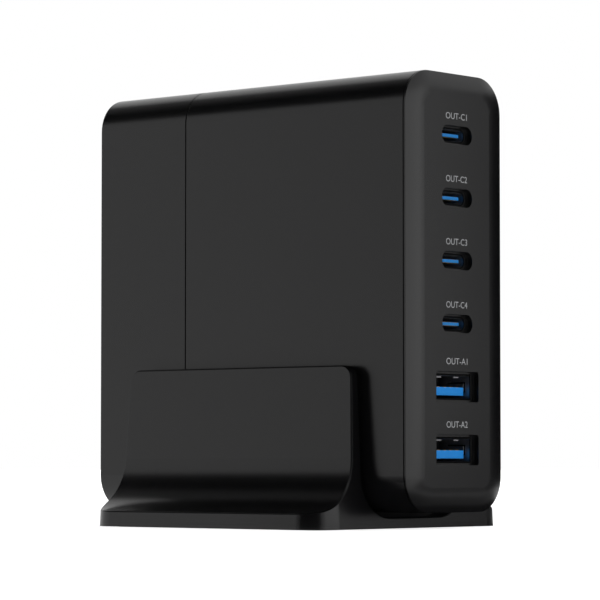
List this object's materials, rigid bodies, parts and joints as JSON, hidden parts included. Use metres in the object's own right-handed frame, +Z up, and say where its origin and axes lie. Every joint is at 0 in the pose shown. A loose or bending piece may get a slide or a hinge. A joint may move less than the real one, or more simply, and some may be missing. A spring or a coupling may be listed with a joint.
{
  "type": "multi port usb desktop charger",
  "caption": "Slim upright desktop charger with a column of type C and type A sockets on its front, standing in a flared moulded cradle.",
  "frame": {"origin": "under the middle of the charger, on the surface the stand rests on", "axes": "+Z up, -Y towards the sockets, X across the broad sides"},
  "size_m": [0.068, 0.0966, 0.1038],
  "materials": {
    "stand_plastic": "fine satin moulding",
    "housing_plastic": "fine satin moulding",
    "panel_plastic": "fine satin moulding",
    "silicone": "matt",
    "socket_shell": "black nickel plated, stamped",
    "socket_tongue": "moulded blue",
    "contact": "gold flash",
    "circuit_board": "solder resist",
    "pin_metal": "nickel plated",
    "inlet_plastic": "moulded",
    "component_epoxy": "moulded epoxy",
    "film_capacitor": "moulded case",
    "varistor_coating": "dipped coating",
    "capacitor_can": "drawn can",
    "ferrite": "sintered",
    "bobbin_plastic": "moulded",
    "copper_wire": "enamelled",
    "aluminium_sheet": "mill finish",
    "gap_pad": "soft, matt"
  },
  "bodies": {
    "root": {"stand": "stand_plastic", "anti_slip_pad": "silicone", "cradle_liner": "silicone", "housing_sleeve": "housing_plastic", "rear_cap": "housing_plastic", "front_panel": "panel_plastic", "port_board": "circuit_board", "main_board": "circuit_board", "inlet_body": "inlet_plastic", "inlet_pins": "pin_metal", "bridge_rectifier": "component_epoxy", "bridge_heat_sink": "aluminium_sheet", "x_capacitor": "film_capacitor", "fuse": "component_epoxy", "varistor": "varistor_coating", "bulk_capacitor_1": "capacitor_can", "bulk_capacitor_2": "capacitor_can", "choke_core": "ferrite", "choke_windings": "copper_wire", "transformer_core": "ferrite", "transformer_bobbin": "bobbin_plastic", "transformer_winding": "copper_wire", "pfc_core": "ferrite", "pfc_bobbin": "bobbin_plastic", "pfc_winding": "copper_wire", "heat_spreader_left": "aluminium_sheet", "heat_spreader_right": "aluminium_sheet", "gap_pad_left": "gap_pad", "gap_pad_right": "gap_pad", "buck_inductor_1": "component_epoxy", "output_capacitor_1": "capacitor_can", "buck_inductor_2": "component_epoxy", "output_capacitor_2": "capacitor_can", "buck_inductor_3": "component_epoxy", "output_capacitor_3": "capacitor_can", "buck_inductor_4": "component_epoxy", "output_capacitor_4": "capacitor_can", "type_c_socket_1_shell": "socket_shell", "type_c_socket_1_tongue": "socket_tongue", "type_c_socket_1_contacts": "contact", "type_c_socket_2_shell": "socket_shell", "type_c_socket_2_tongue": "socket_tongue", "type_c_socket_2_contacts": "contact", "type_c_socket_3_shell": "socket_shell", "type_c_socket_3_tongue": "socket_tongue", "type_c_socket_3_contacts": "contact", "type_c_socket_4_shell": "socket_shell", "type_c_socket_4_tongue": "socket_tongue", "type_c_socket_4_contacts": "contact", "type_a_socket_1_shell": "socket_shell", "type_a_socket_1_tongue": "socket_tongue", "type_a_socket_1_contacts": "contact", "type_a_socket_2_shell": "socket_shell", "type_a_socket_2_tongue": "socket_tongue", "type_a_socket_2_contacts": "contact"}
  },
  "joints": []
}
